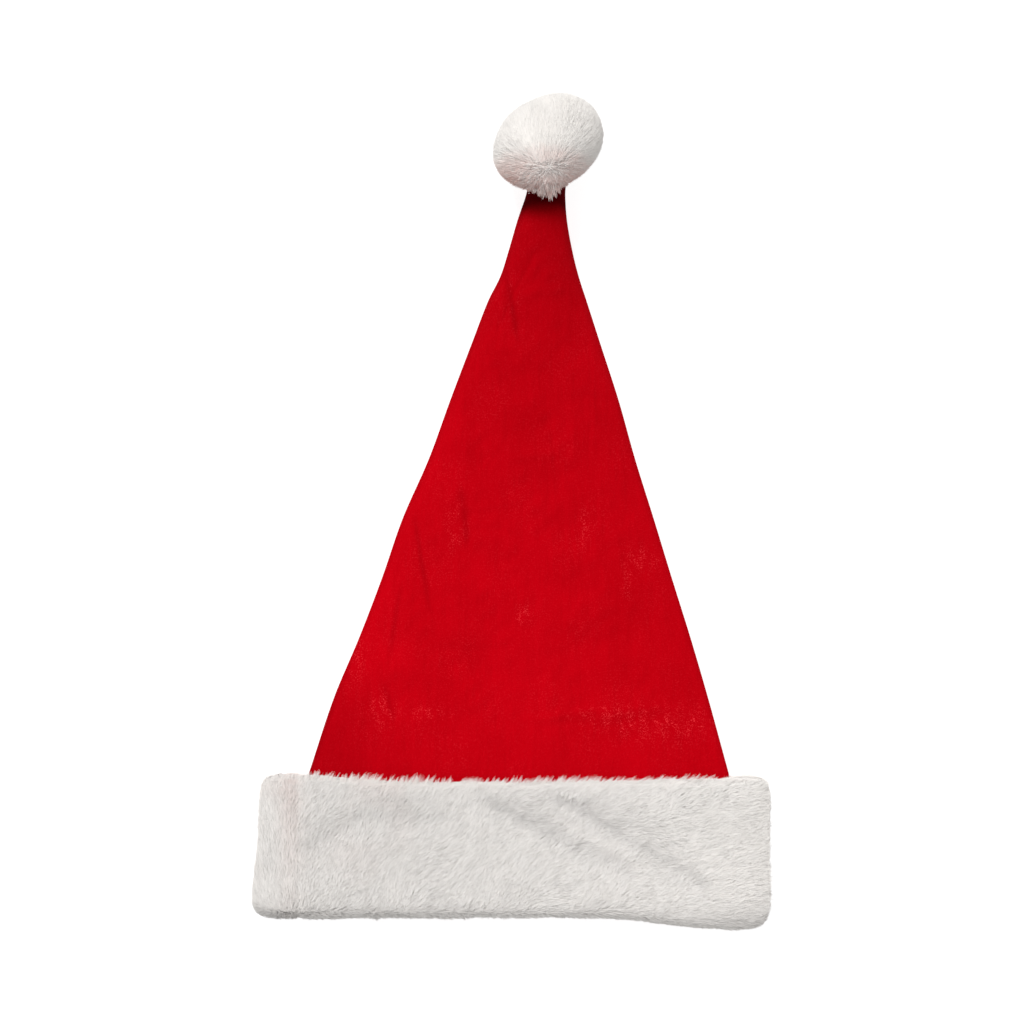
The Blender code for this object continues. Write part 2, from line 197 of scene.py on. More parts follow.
BAND_TOP = BAND_DEPTH / 2
RIM_WIDTH = BAND_WIDTH - 2 * (BAND_LOCK + PLUSH + RIM_EASE)
CROWN_DEPTH = MOUTH_GAP + 2 * CLOTH
CUFF_LIFT = PLUSH_PRESSED + SEAM_GAP
BAND_HEIGHT = CUFF_LIFT + CROWN_DEPTH + SEAM_GAP + PLUSH
HEAD = np.array((POMPOM_ACROSS, POMPOM_ALONG, POMPOM_HEIGHT)) / 2 - POMPOM_LOCK
SEAT = HEAD[1] * SEAT_SHARE
TIP_HALF = CROWN_DEPTH * CROWN_ROWS[-1].depth / 2
TIP_LIFT = (
    POMPOM_HEIGHT / 2
    - math.sin(TIP_PITCH) * (SEAT + SEAM_GAP)
    - math.cos(TIP_PITCH) * TIP_HALF
)
TO_TIP = np.array((0, -math.cos(TIP_PITCH), -math.sin(TIP_PITCH)))
POMPOM_MIDDLE = (
    np.array((
        CROWN_ROWS[-1].centre * CROWN_WIDTH,
        BAND_TOP + CROWN_LENGTH - math.sin(TIP_PITCH) * TIP_HALF,
        TIP_LIFT + math.cos(TIP_PITCH) * TIP_HALF,
    ))
    - TO_TIP * (SEAT + SEAM_GAP)
)

CROWN_STEPS = (150, 7, 16)  # round a loop: its top, each side fold and its flat underside
BAND_STEPS = (150, 8, 14)
STRANDS_A_PIECE = 60000  # three triangles each
STRANDS_A_TUFT = 9
STRAND_POINTS = 5
LEAST_LIFT = 0.0002  # of the pompom above the surface
PILE_FOOT = 0.0008  # of the cuff's underside above the surface
PILE_INSET = 0.0033  # from the cuff's top down to where its pile is rooted
SIDE_INSET = 0.0022  # the same at its two ends, and at its two edges
LOWER_INSET = 0.0008
UPPER_INSET = 0.0030
PILE_LENGTH = 0.0070
PILE_WIDTH = 0.00032
WISP_WIDTH = 0.00028
PILE_CLING = 0.36  # how far a strand's tip is drawn to the middle of its tuft
FUR_REACH = np.array((0.0329, 0.0260, 0.0275))  # the pompom's half sizes with its fur
FUR_TURN = math.radians(33)
FUR_STAND = 0.0056  # of the fur above its roots
FUR_LENGTH = 0.0112
FUR_WIDTH = 0.00034
HANGING_WIDTH = 0.00030
FUR_CLING = 0.24
WHORL = np.array((0.0, -0.60, 0.80))  # where the fur parts, from the pompom's middle
WHORL_REACH = 0.20  # of the parting to each side, as a share of the pompom
ROOM_LIGHT = 0.61  # of the white walls on the hat, the walls themselves being 1
PIXEL = 0.000575  # metres a pixel of the photograph, at the crown's height
PHOTO_SIZE = 1024
PHOTO_ORIGIN = (511, 846)  # where the part's origin lies in the photograph

BLACK = (0, 0, 0, 1)
WHITE = (1, 1, 1, 1)
VELOUR_DARK = (0.43, 0.0001, 0.0038, 1)
VELOUR_LIGHT = (0.535, 0.0002, 0.0053, 1)
# The velour's painted sheen, on its brushed-up pile
VELOUR_PAINTED_SHEEN = (0.95, 0.045, 0.06, 1)
# The velour's painted shade
VELOUR_PAINTED_SHADE = (0.04, 0.0001, 0.0008, 1)
PLUSH_BACKING = (0.92, 0.89, 0.86, 1)
PLUSH_ROOT = (0.89, 0.86, 0.83, 1)
PLUSH_TINT = (0.88, 0.74, 0.70, 1)
FUR_BACKING = (0.90, 0.86, 0.82, 1)
FUR_ROOT = (0.91, 0.88, 0.85, 1)
FUR_TINT = (0.80, 0.46, 0.40, 1)
STRAND_TIP = (0.94, 0.915, 0.885, 1)


# Shapes
def smooth(rows, column, places):
    """The values of a table's column at places of its first column, on a smooth curve."""
    knots = np.array([row[0] for row in rows])
    values = np.array([getattr(row, column) for row in rows])
    last = len(rows) - 1
    places = np.clip(places, knots[0], knots[-1])
    i = np.clip(np.searchsorted(knots, places, side="right") - 1, 0, last - 1)
    before = np.maximum(np.arange(last + 1) - 1, 0)
    after = np.minimum(np.arange(last + 1) + 1, last)
    slopes = (values[after] - values[before]) / (knots[after] - knots[before])
    span = knots[i + 1] - knots[i]
    t = (places - knots[i]) / span
    rise = values[i + 1] - values[i]
    start, end = slopes[i] * span, slopes[i + 1] * span
    bent = 3 * rise - 2 * start - end + t * (start + end - 2 * rise)
    return values[i] + t * (start + t * bent)


def bell(off, width, off_too=0.0, width_too=1.0):
    """1 where the offset is 0, falling off over the width, in one direction or in two."""
    return np.exp(-((off / width) ** 2) - (off_too / width_too) ** 2)


def near_line(x, y, start, end, width, fade=0.6):
    """1 on the line from start to end, falling off to its sides and, by fade, to its ends."""
    line = np.subtract(end, start)
    share = ((x - start[0]) * line[0] + (y - start[1]) * line[1]) / line.dot(line)
    share = np.clip(share, 0, 1)
    off = (x - start[0] - share * line[0]) ** 2 + (y - start[1] - share * line[1]) ** 2
    return (1 - fade * (2 * share - 1) ** 4) * np.exp(-off / width**2)


def drift(points, size, seed):
    """A smooth field between about -1 and 1 that changes over the given size."""
    draw = np.random.default_rng(seed)
    field = np.zeros(points.shape[:-1])
    waves = 9
    for _ in range(waves):
        way = draw.normal(size=points.shape[-1])
        way *= 2 * math.pi / size * draw.uniform(0.5, 1.3) / np.linalg.norm(way)
        field += np.sin(points @ way + draw.uniform(0, 2 * math.pi))
    return field / math.sqrt(waves)


def unit(vectors):
    return vectors / np.maximum(np.linalg.norm(vectors, axis=-1, keepdims=True), 1e-12)


def tube(half, height, fold_height, fold_radius, arch, steps):
    """Loops round a flattened tube on z = 0: x, z and how much of its top each point has.

    The first four may be columns, one value a loop.
    """
    top_steps, turn_steps, flat_steps = steps
    half, height, fold_height, fold_radius = np.broadcast_arrays(
        half, height, fold_height, fold_radius
    )
    # The top's points lie a little closer together towards its side folds.
    even = 2 * np.arange(top_steps) / top_steps - 1
    across = 1.08 * even - 0.08 * even**9
    top = (1 - np.abs(across) ** arch.square) ** arch.rise
    radius = np.minimum(fold_radius, half / 2)
    angle = np.arange(turn_steps + 1) / turn_steps * math.pi / 2
    turn_x = half - radius * (1 - np.cos(angle))
    turn_z = fold_height * (1 - np.sin(angle))
    flat_x = (half - radius) * (1 - 2 * np.arange(1, flat_steps) / flat_steps)
    x = np.hstack((across * half, turn_x, flat_x, -turn_x[:, :0:-1]))
    rise = fold_height + (height - fold_height) * top
    z = np.hstack((rise, turn_z, flat_x * 0, turn_z[:, :0:-1]))
    on_top = np.hstack((top, np.zeros(x.shape[1] - top_steps)))
    return x, z, np.broadcast_to(on_top, x.shape)


def band_y(x, up):
    """How far along the hat a point of the cuff lies, up being its share of the cuff's depth."""
    lower, upper = (smooth(EDGE_ROWS, edge, x / BAND_WIDTH) for edge in ("lower", "upper"))
    return BAND_DEPTH * (lower + up * (upper - lower))


def grid_normals(grid, closed):
    """Outward normals of loops of points. closed is true where the last loop meets the first."""
    round_ = np.roll(grid, -1, axis=1) - np.roll(grid, 1, axis=1)
    if closed:
        along = np.roll(grid, -1, axis=0) - np.roll(grid, 1, axis=0)
    else:
        along = np.gradient(grid, axis=0)
    return unit(np.cross(round_, along))


def new_piece(name, points, faces, material):
    """A mesh piece that rides on the hat. faces is a list of arrays of corner numbers."""
    mesh = bpy.data.meshes.new(name)
    corners = np.concatenate([f.ravel() for f in faces]).astype(np.int32)
    sizes = np.concatenate([np.full(len(f), f.shape[1]) for f in faces])
    mesh.vertices.add(len(points))
    mesh.vertices.foreach_set("co", np.asarray(points, dtype=np.float32).ravel())
    mesh.loops.add(len(corners))
    mesh.loops.foreach_set("vertex_index", corners)
    mesh.polygons.add(len(sizes))
    starts = np.concatenate(([0], np.cumsum(sizes)[:-1])).astype(np.int32)
    mesh.polygons.foreach_set("loop_start", starts)
    mesh.update(calc_edges=True)
    mesh.validate()
    mesh.shade_smooth()
    mesh.materials.append(material)
    piece = bpy.data.objects.new(name, mesh)
    bpy.context.scene.collection.objects.link(piece)
    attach(piece, "root")
    return piece


def add_values(piece, name, values):
    """A number for each corner of a piece's mesh, which its material reads by name."""
    stored = piece.data.attributes.new(name, "FLOAT", "POINT")
    stored.data.foreach_set("value", np.asarray(values, dtype=np.float32).ravel())


def quads(rows, steps, closed):
    """The faces between loops of points, row after row."""
    i = np.arange(rows if closed else rows - 1)[:, None]
    j = np.arange(steps)[None, :]
    after_i, after_j = (i + 1) % rows, (j + 1) % steps
    corners = (i * steps + j, i * steps + after_j, after_i * steps + after_j, after_i * steps + j)
    return np.stack(np.broadcast_arrays(*corners), axis=-1).reshape(-1, 4)


def closed_tube(loops):
    """The points and faces of loops of points, with both ends closed round their middles."""
    rows, steps = loops.shape[:2]
    points = loops.reshape(-1, 3)
    ends = np.array((loops[0].mean(axis=0), loops[-1].mean(axis=0)))
    last, count = (rows - 1) * steps, len(points)
    step = np.arange(steps)
    after = (step + 1) % steps
    first_end = np.stack((np.full(steps, count), after, step), axis=-1)
    last_end = np.stack((np.full(steps, count + 1), last + step, last + after), axis=-1)
    return np.concatenate((points, ends)), [quads(rows, steps, closed=False), first_end, last_end]


# Node helpers
def link(tree, out, into):
    tree.links.new(out, into)


def node(tree, kind, values=(), **settings):
    """A shader node with some of its settings and unlinked inputs given."""
    made = tree.nodes.new(kind)
    for name, value in settings.items():
        setattr(made, name, value)
    for name, value in dict(values).items():
        made.inputs[name].default_value = value
    return made


def new_group(name, inputs, outputs):
    """A node group with its sockets, and its inner input and output nodes."""
    tree = bpy.data.node_groups.new(name, "ShaderNodeTree")
    for way, sockets in (("INPUT", inputs), ("OUTPUT", outputs)):
        for label, kind, value in sockets:
            socket = tree.interface.new_socket(name=label, in_out=way, socket_type=kind)
            if value is not None:
                socket.default_value = value
    return tree, tree.nodes.new("NodeGroupInput"), tree.nodes.new("NodeGroupOutput")


def feed(tree, socket, value):
    """A socket set to a number or a colour, or linked to another node's output."""
    if isinstance(value, (int, float, tuple)):
        socket.default_value = value
    else:
        link(tree, value, socket)


def math_node(tree, operation, a, b):
    made = node(tree, "ShaderNodeMath", operation=operation)
    feed(tree, made.inputs[0], a)
    feed(tree, made.inputs[1], b)
    return made.outputs[0]


def mix_colour(tree, share, a, b):
    """Two colours mixed. The node's sockets 6 and 7 in and 2 out are those for colours."""
    made = node(tree, "ShaderNodeMix", data_type="RGBA")
    feed(tree, made.inputs[0], share)
    feed(tree, made.inputs[6], a)
    feed(tree, made.inputs[7], b)
    return made.outputs[2]


def ramp(tree, value, *stops):
    """A colour for a value, between two stops of a position and a colour."""
    made = node(tree, "ShaderNodeValToRGB")
    for element, (position, colour) in zip(made.color_ramp.elements, stops):
        element.position = position
        element.color = colour
    link(tree, value, made.inputs[0])
    return made.outputs[0]


def attribute(tree, name):
    """The number that a piece's mesh holds by this name for each of its corners."""
    return node(tree, "ShaderNodeAttribute", attribute_name=name).outputs["Fac"]


def bump(tree, shader, height, strength, distance):
    made = node(tree, "ShaderNodeBump", {"Strength": strength, "Distance": distance})
    link(tree, height, made.inputs["Height"])
    link(tree, made.outputs[0], shader.inputs["Normal"])


def shifting_patches():
    """Where a cloth's pile is brushed lighter or darker: long soft streaks and small specks."""
    tree, given, result = new_group(
        "shifting_patches",
        [
            ("Streak Size", "NodeSocketFloat", 60.0),
            ("Stretch", "NodeSocketFloat", 0.35),
            ("Fine Size", "NodeSocketFloat", 900.0),
        ],
        [("Patches", "NodeSocketFloat", None), ("Fine", "NodeSocketFloat", None)],
    )
    place = node(tree, "ShaderNodeTexCoord")
    squeeze = node(tree, "ShaderNodeCombineXYZ", {"X": 1.0, "Z": 1.0})
    link(tree, given.outputs["Stretch"], squeeze.inputs["Y"])
    stretched = node(tree, "ShaderNodeVectorMath", operation="MULTIPLY")
    link(tree, place.outputs["Object"], stretched.inputs[0])
    link(tree, squeeze.outputs[0], stretched.inputs[1])
    broad = node(tree, "ShaderNodeTexNoise", {"Detail": 4.0, "Roughness": 0.62})
    link(tree, stretched.outputs[0], broad.inputs["Vector"])
    link(tree, given.outputs["Streak Size"], broad.inputs["Scale"])
    fine = node(tree, "ShaderNodeTexNoise", {"Detail": 3.0, "Roughness": 0.7})
    link(tree, place.outputs["Object"], fine.inputs["Vector"])
    link(tree, given.outputs["Fine Size"], fine.inputs["Scale"])
    link(tree, broad.outputs["Fac"], result.inputs["Patches"])
    link(tree, fine.outputs["Fac"], result.inputs["Fine"])
    return tree


def strand_colour():
    """The colour of loose pile, from root to tip, with each strand's own lightness, painted light
    and shade, and tint.
    """
    tree, given, result = new_group(
        "strand_colour",
        [
            ("Root", "NodeSocketColor", (0.7, 0.7, 0.7, 1)),
            ("Tip", "NodeSocketColor", (0.9, 0.9, 0.9, 1)),
            ("Tint", "NodeSocketColor", (0.9, 0.7, 0.65, 1)),
        ],
        [("Colour", "NodeSocketColor", None)],
    )
    along, tone_and_shade, tint = (attribute(tree, name) for name in ("along", "tone_and_shade", "tint"))
    plain = mix_colour(tree, along, given.outputs["Root"], given.outputs["Tip"])
    share = math_node(tree, "MULTIPLY", tint, along)
    tinted = mix_colour(tree, share, plain, given.outputs["Tint"])
    toned = node(tree, "ShaderNodeHueSaturation")
    link(tree, tinted, toned.inputs["Color"])
    link(tree, tone_and_shade, toned.inputs["Value"])
    link(tree, toned.outputs[0], result.inputs["Colour"])
    return tree


PATCHES = shifting_patches()
STRAND_COLOUR = strand_colour()


def new_material(name, **values):
    """A material with its shader, whose constants are set on the shader itself."""
    material = bpy.data.materials.new(name)
    material.use_nodes = True
    shader = material.node_tree.nodes["Principled BSDF"]
    for label, value in values.items():
        shader.inputs[label.replace("_", " ")].default_value = value
    return material, material.node_tree, shader


def patches(tree, streak_size, stretch, fine_size):
    """The shared patches, at a material's own sizes."""
    values = {"Streak Size": streak_size, "Stretch": stretch, "Fine Size": fine_size}
    return node(tree, "ShaderNodeGroup", values, node_tree=PATCHES)


def red_velour():
    """Short dense pile: broad brushed patches, faint streaks down the cloth, bright specks of
    painted sheen and painted shade.
    """
    material, tree, shader = new_material(
        "red_velour",
        Roughness=0.9,
        Sheen_Weight=0.10,
        Sheen_Roughness=0.45,
        Sheen_Tint=(1.0, 0.01, 0.03, 1),
        Specular_IOR_Level=0.03,
        Specular_Tint=(1.0, 0.05, 0.08, 1),
    )
    brushed = patches(tree, 24.0, 0.35, 1300)
    combed = patches(tree, 420.0, 0.10, 2600)
    broad = math_node(tree, "MULTIPLY", brushed.outputs["Patches"], 0.62)
    lines = math_node(tree, "MULTIPLY", combed.outputs["Patches"], 0.38)
    grain = math_node(tree, "MULTIPLY", brushed.outputs["Fine"], 0.30)
    mottled = math_node(tree, "ADD", math_node(tree, "ADD", broad, lines), grain)
    colour = ramp(tree, mottled, (0.46, VELOUR_DARK), (0.84, VELOUR_LIGHT))
    # Painted sheen: bright specks where the pile is brushed up.
    specks = ramp(tree, brushed.outputs["Fine"], (0.545, BLACK), (0.65, WHITE))
    bright = math_node(tree, "MULTIPLY", specks, attribute(tree, "raised"))
    colour = mix_colour(tree, bright, colour, VELOUR_PAINTED_SHEEN)
    # Painted shade: the cloth is darkened where it is folded and creased, and most of all under
    # the pompom, where the pompom's shadow falls.
    colour = mix_colour(tree, attribute(tree, "painted_shade"), colour, VELOUR_PAINTED_SHADE)
    link(tree, colour, shader.inputs["Base Color"])
    height = math_node(tree, "ADD", brushed.outputs["Fine"], combed.outputs["Patches"])
    bump(tree, shader, height, 0.30, 0.0004)
    return material


def plush_backing(name, colour):
    """The dense foot of the pile, under the loose strands."""
    material, tree, shader = new_material(name, Roughness=0.95, Specular_IOR_Level=0.2)
    brushed = patches(tree, 240.0, 0.7, 1400)
    shade = 0.86
    dark = tuple(shade * c for c in colour[:3]) + (1,)
    mixed = mix_colour(tree, brushed.outputs["Patches"], dark, colour)
    link(tree, mixed, shader.inputs["Base Color"])
    height = math_node(tree, "ADD", brushed.outputs["Patches"], brushed.outputs["Fine"])
    bump(tree, shader, height, 0.8, 0.0012)
    return material


def loose_pile(name, root, tint):
    """The strands of the pile, tinted where a piece says so."""
    material, tree, shader = new_material(
        name, Roughness=0.7, Specular_IOR_Level=0.3, Sheen_Weight=0.15, Sheen_Roughness=0.5
    )
    values = {"Root": root, "Tip": STRAND_TIP, "Tint": tint}
    colour = node(tree, "ShaderNodeGroup", values, node_tree=STRAND_COLOUR)
    link(tree, colour.outputs["Colour"], shader.inputs["Base Color"])
    return material


def pale_floor():
    """A white studio floor, lit a little from below so that shadows on it stay light."""
    material, _, _ = new_material(
        "pale_floor",
        Base_Color=(0.36, 0.36, 0.36, 1),
        Roughness=0.9,
        Emission_Color=WHITE,
        Emission_Strength=0.84,
    )
    return material


# The crown
def crown_loops(places, inset, steps, relief=True):
    """The crown's loops: -1 to 0 in the cuff, 0 to 1 from there to the tip."""
    places = np.asarray(places, dtype=float)[:, None]
    along, in_cuff = np.maximum(places, 0), -np.minimum(places, 0)
    width, centre, depth, on_cuff, on_ball, pitch = (
        smooth(CROWN_ROWS, column, along)
        for column in ("width", "centre", "depth", "on_cuff", "on_ball", "pitch")
    )
    half = (width * CROWN_WIDTH + (RIM_WIDTH - CROWN_WIDTH) * in_cuff) / 2 - inset
    base = FLOOR_GAP + on_cuff * (CUFF_LIFT - FLOOR_GAP) + on_ball * (TIP_LIFT - FLOOR_GAP)
    top = CROWN_DEPTH * depth
    fold_height = np.minimum(FOLD_HEIGHT, top / 2)
    x, z, on_top = tube(
        half, top - 2 * inset, fold_height - inset, FOLD_RADIUS - inset, CROWN_ARCH, steps
    )
    x = x + centre * CROWN_WIDTH * (1 - in_cuff)
    y = band_y(x, 1 - in_cuff)
    y += along * CROWN_LENGTH + (BAND_TOP - y) * np.minimum(along * 5, 1)
    z = z + inset
    if relief:
        z += crown_relief(x, y) * on_top * np.minimum(along * 10, 1)
    lean = TIP_PITCH * pitch
    return np.stack((x, y - np.sin(lean) * z, base + np.cos(lean) * z), axis=-1)


def crown_relief(x, y):
    """The folds of the crown's upper layer, the broad ones first, then small creases."""
    lift = np.zeros_like(x)
    for fold in CROWN_FOLDS:
        start = (fold.across * CROWN_WIDTH, BAND_TOP + fold.along * CROWN_LENGTH)
        end = (fold.to_across * CROWN_WIDTH, BAND_TOP + fold.to_along * CROWN_LENGTH)
        lift += fold.height * MOUTH_GAP * near_line(x, y, start, end, fold.width * CROWN_WIDTH)
    points = np.stack((x, y), axis=-1)
    x = x + 0.003 * drift(points, 0.05, 11)
    y = y + 0.003 * drift(points, 0.05, 12)
    for crease in CREASES:
        start, end = (crease.x, crease.y), (crease.to_x, crease.to_y)
        lift += crease.height * near_line(x, y, start, end, crease.width)
    draw = np.random.default_rng(5)
    small_creases = 70
    for _ in range(small_creases):
        along = draw.uniform(0.02, 0.86)
        room = smooth(CROWN_ROWS, "width", along) * CROWN_WIDTH / 2
        foot = np.array((
            smooth(CROWN_ROWS, "centre", along) * CROWN_WIDTH + draw.uniform(-0.85, 0.85) * room,
            BAND_TOP + along * CROWN_LENGTH,
        ))
        angle = math.radians(90 + draw.normal() * 16)
        if draw.random() < 0.22:
            angle = math.radians(draw.normal() * 14)
        length = draw.uniform(0.012, 0.05)
        head = foot + length * np.array((math.cos(angle), math.sin(angle)))
        height = draw.uniform(0.00010, 0.00040) * draw.choice((-1, 1, 1))
        lift += height * near_line(x, y, foot, head, draw.uniform(0.0012, 0.0032))
    return lift + 0.00035 * drift(points, 0.035, 13) + 0.0001 * drift(points, 0.011, 14)


def crown(material):
    """A closed wall of cloth: outside, tip, inside and rim."""
    hem_rows, cone_rows = 14, 190
    rim = 1 - HEM_INSET / BAND_DEPTH
    hem = np.linspace(-rim, 0, hem_rows, endpoint=False)
    places = np.concatenate((hem, np.linspace(0, 1, cone_rows)))
    outer = crown_loops(places, 0.0, CROWN_STEPS)
    places[-1] = 1 - CLOTH / CROWN_LENGTH
    inner = crown_loops(places, CLOTH, CROWN_STEPS)
    middle_rim = (outer[:1] + inner[:1]) / 2
    middle_rim[..., 1] -= CLOTH * 0.35  # so that the rim is rounded
    points, faces = closed_tube(np.concatenate((outer[::-1], middle_rim, inner)))
    piece = new_piece("velour_crown", points, faces, material)
    velour_tones(piece, outer[::-1])
    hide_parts("crown")
    return piece


def velour_tones(piece, skin):
    """Where the velour's outside is brushed up and carries painted sheen, and where it carries
    painted shade.
    """
    x, y = skin[..., 0], skin[..., 1]
    # Painted sheen: bright specks, dense at the listed spots and sparse everywhere else
    lifted = sum(
        spot.share * bell(x - spot.x, spot.width, y - spot.y, spot.length) for spot in BRUSHED_SHEEN
    )
    places = np.stack((x, y), axis=-1)
    broken = np.clip(0.55 + 0.75 * drift(places, 0.007, 17), 0, 1.3)
    scattered = 0.08 + 0.09 * np.clip(drift(places, 0.035, 18), 0, 1)
    raised = np.clip(1.3 * lifted * broken + scattered, 0, 1)
    # Painted shade under the pompom, where its shadow falls, and towards the tip, then darker at
    # the lower left, and painted shade along both side folds and in the deeper creases
    to_tip = np.clip(BAND_TOP + CROWN_LENGTH - y, 0, 1)
    dark = 0.95 * np.exp(-((to_tip / 0.018) ** 4)) + 0.20 * bell(to_tip, 0.14)
    dark += 0.25 * bell(x + 0.105, 0.035, y - 0.055, 0.04)
    right = x.max(axis=1, keepdims=True)
    middle = (right + x.min(axis=1, keepdims=True)) / 2
    dark += 0.20 * bell(right - middle - np.abs(x - middle), 0.0022)
    for crease in CREASES:
        if crease.height < -0.0003:
            start, end = (crease.x, crease.y), (crease.to_x, crease.to_y)
            dark += 0.16 * near_line(x, y, start, end, crease.width)
    for name, tones in (("raised", raised), ("painted_shade", np.clip(dark, 0, 0.95))):
        values = np.zeros(len(piece.data.vertices))
        values[: tones.size] = tones.ravel()
        add_values(piece, name, values)


# The cuff
def band_dent(x, up):
    """How deep the cuff's upper side is pressed in, at its dents and at its seam."""
    depth = np.zeros_like(x)
    for dent in BAND_DENTS:
        start = (dent.across * BAND_WIDTH, dent.up * BAND_DEPTH)
        end = (dent.to_across * BAND_WIDTH, dent.to_up * BAND_DEPTH)
        share = near_line(x, up * BAND_DEPTH, start, end, dent.width * BAND_DEPTH)
        depth = np.maximum(depth, dent.depth * PLUSH * share)
    seam = bell(x / BAND_WIDTH - SEAM_ACROSS, 0.005)
    points = np.stack((x, up * BAND_DEPTH + 0 * x), axis=-1)
    waves = 0.0003 * drift(points, 0.022, 15) + 0.00012 * drift(points, 0.010, 16)
    return depth + 0.0010 * seam + waves


def band_loops(rows):
    """The foot of the cuff's pile, as loops of a wall cut through at (up, inward)."""
    up, inward = np.array(rows).T[:, :, None]
    left, right = (smooth(SIDE_ROWS, side, up) * BAND_WIDTH for side in ("left", "right"))
    half = (right - left) / 2 - SIDE_INSET
    x, z, on_top = tube(
        half, BAND_HEIGHT - PILE_INSET - PILE_FOOT, BAND_FOLD_HEIGHT - PILE_FOOT,
        BAND_FOLD_RADIUS - PILE_INSET, BAND_ARCH, BAND_STEPS,
    )
    x = x + (left + right) / 2
    z = z + PILE_FOOT - on_top * band_dent(x, up)
    within = crown_loops(up[:, 0] - 1, -SEAM_GAP, BAND_STEPS, relief=False)
    x = x + (within[..., 0] - x) * inward
    z = z + (within[..., 2] - z) * inward
    low, high = LOWER_INSET / BAND_DEPTH, 1 - UPPER_INSET / BAND_DEPTH
    y = band_y(x, low + up * (high - low))
    return np.stack((x, y, z), axis=-1)


def wall_rows(outer_steps, edge_steps, inner_steps):
    """(up, inward) round the cuff's wall: outside, upper edge, inside and lower edge."""
    edge = 0.04
    turn = np.linspace(0, math.pi, edge_steps, endpoint=False)
    rows = [(up, 0.0) for up in np.linspace(edge, 1 - edge, outer_steps, endpoint=False)]
    rows += [(1 - edge + edge * math.sin(a), (1 - math.cos(a)) / 2) for a in turn]
    rows += [(up, 1.0) for up in np.linspace(1 - edge, edge, inner_steps, endpoint=False)]
    rows += [(edge - edge * math.sin(a), (1 + math.cos(a)) / 2) for a in turn]
    return rows


def scatter(grid, closed, weights, count, seed):
    """Points spread evenly over loops of points, with the normals there.

    weights says how densely each face between the loops is covered.
    """
    draw = np.random.default_rng(seed)
    normals = grid_normals(grid, closed)
    faces = quads(*grid.shape[:2], closed)
    corners, turns = grid.reshape(-1, 3)[faces], normals.reshape(-1, 3)[faces]
    area = np.linalg.norm(
        np.cross(corners[:, 2] - corners[:, 0], corners[:, 3] - corners[:, 1]), axis=1
    )
    total = np.cumsum(area * weights.ravel())
    picked = np.searchsorted(total, (np.arange(count) + draw.random(count)) / count * total[-1])
    picked = np.minimum(picked, len(faces) - 1)
    u, v = draw.random((2, count, 1))
    shares = ((1 - u) * (1 - v), u * (1 - v), u * v, (1 - u) * v)
    points = sum(share * corners[picked, k] for k, share in enumerate(shares))
    return points, unit(sum(share * turns[picked, k] for k, share in enumerate(shares)))


def tufted(points, tips, clumps, cling, seed):
    """The tips drawn together in tufts, and the number of the tuft each belongs to."""
    draw = np.random.default_rng(seed)
    centres = draw.choice(len(points), clumps, replace=False)
    tree = kdtree.KDTree(clumps)
    for k, centre in enumerate(centres):
        tree.insert(points[centre], k)
    tree.balance()
    tuft = np.array([tree.find(point)[1] for point in points])
    target = tips[centres][tuft]
    pull = cling * draw.uniform(0.6, 1.0, (len(points), 1))
    return tips + (target - tips) * pull, tuft


def strands(name, roots, normals, tips, width, values, material, seed, upward):
    """Loose pile as fine pointed ribbons, bent once, that face outwards and, by upward, up."""
    draw = np.random.default_rng(seed)
    count = len(roots)
    rise = np.sum((tips - roots) * normals, axis=1, keepdims=True)
    bend = roots * 0.55 + tips * 0.45 + normals * np.maximum(rise, 0.0004) * 0.38
    bend += draw.normal(size=(count, 3)) * 0.00022
    way = unit(tips - roots)
    raised = upward * np.clip(1 + normals[:, 2:], 0, 1) * (0, 0, 1)
    lean = unit(normals + raised + 0.06 * way + 0.12 * draw.normal(size=(count, 3)))
    facing = unit(lean - way * np.sum(lean * way, axis=1, keepdims=True))
    side = unit(np.cross(way, facing) + 0.2 * draw.normal(size=(count, 3)))
    half = width[:, None] / 2
    points = np.stack(
        (roots - side * half, roots + side * half, bend - side * half * 0.8,
         bend + side * half * 0.8, tips),
        axis=1,
    )
    points[..., 2] = np.maximum(points[..., 2], 0.00015)
    first = np.arange(count)[:, None] * STRAND_POINTS
    faces = np.concatenate([first + np.array(f) for f in ((0, 1, 3), (0, 3, 2), (2, 3, 4))])
    piece = new_piece(name, points.reshape(-1, 3), [faces], material)
    along = np.tile((0.0, 0.0, 0.55, 0.55, 1.0), count)
    add_values(piece, "along", along)
    for label, value in values.items():
        add_values(piece, label, np.repeat(value, STRAND_POINTS))
    # Each strand is lit as the surface that it lies on, a little turned.
    piece.data.normals_split_custom_set_from_vertices(np.repeat(lean, STRAND_POINTS, axis=0))


def cuff(backing, pile):
    """The plush cuff: its dense foot under its loose pile."""
    outer_rows, edge_rows, inner_rows = 44, 9, 10
    grid = band_loops(wall_rows(outer_rows, edge_rows, inner_rows))
    body = new_piece(
        "plush_cuff", grid.reshape(-1, 3), [quads(*grid.shape[:2], True)], backing
    )
    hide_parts("band")

    # The pile is thin underneath, missing inside and dense on the upper edge.
    weights = np.ones(grid.shape[:2])
    weights[:, BAND_STEPS[0] + BAND_STEPS[1] // 2 : -BAND_STEPS[1] // 2] = 0.14
    inside = outer_rows + edge_rows
    weights[inside : inside + inner_rows] = 0.0
    weights[outer_rows : outer_rows + edge_rows // 2 + 1] *= 1.5
    cuff_pile(grid, weights, pile)


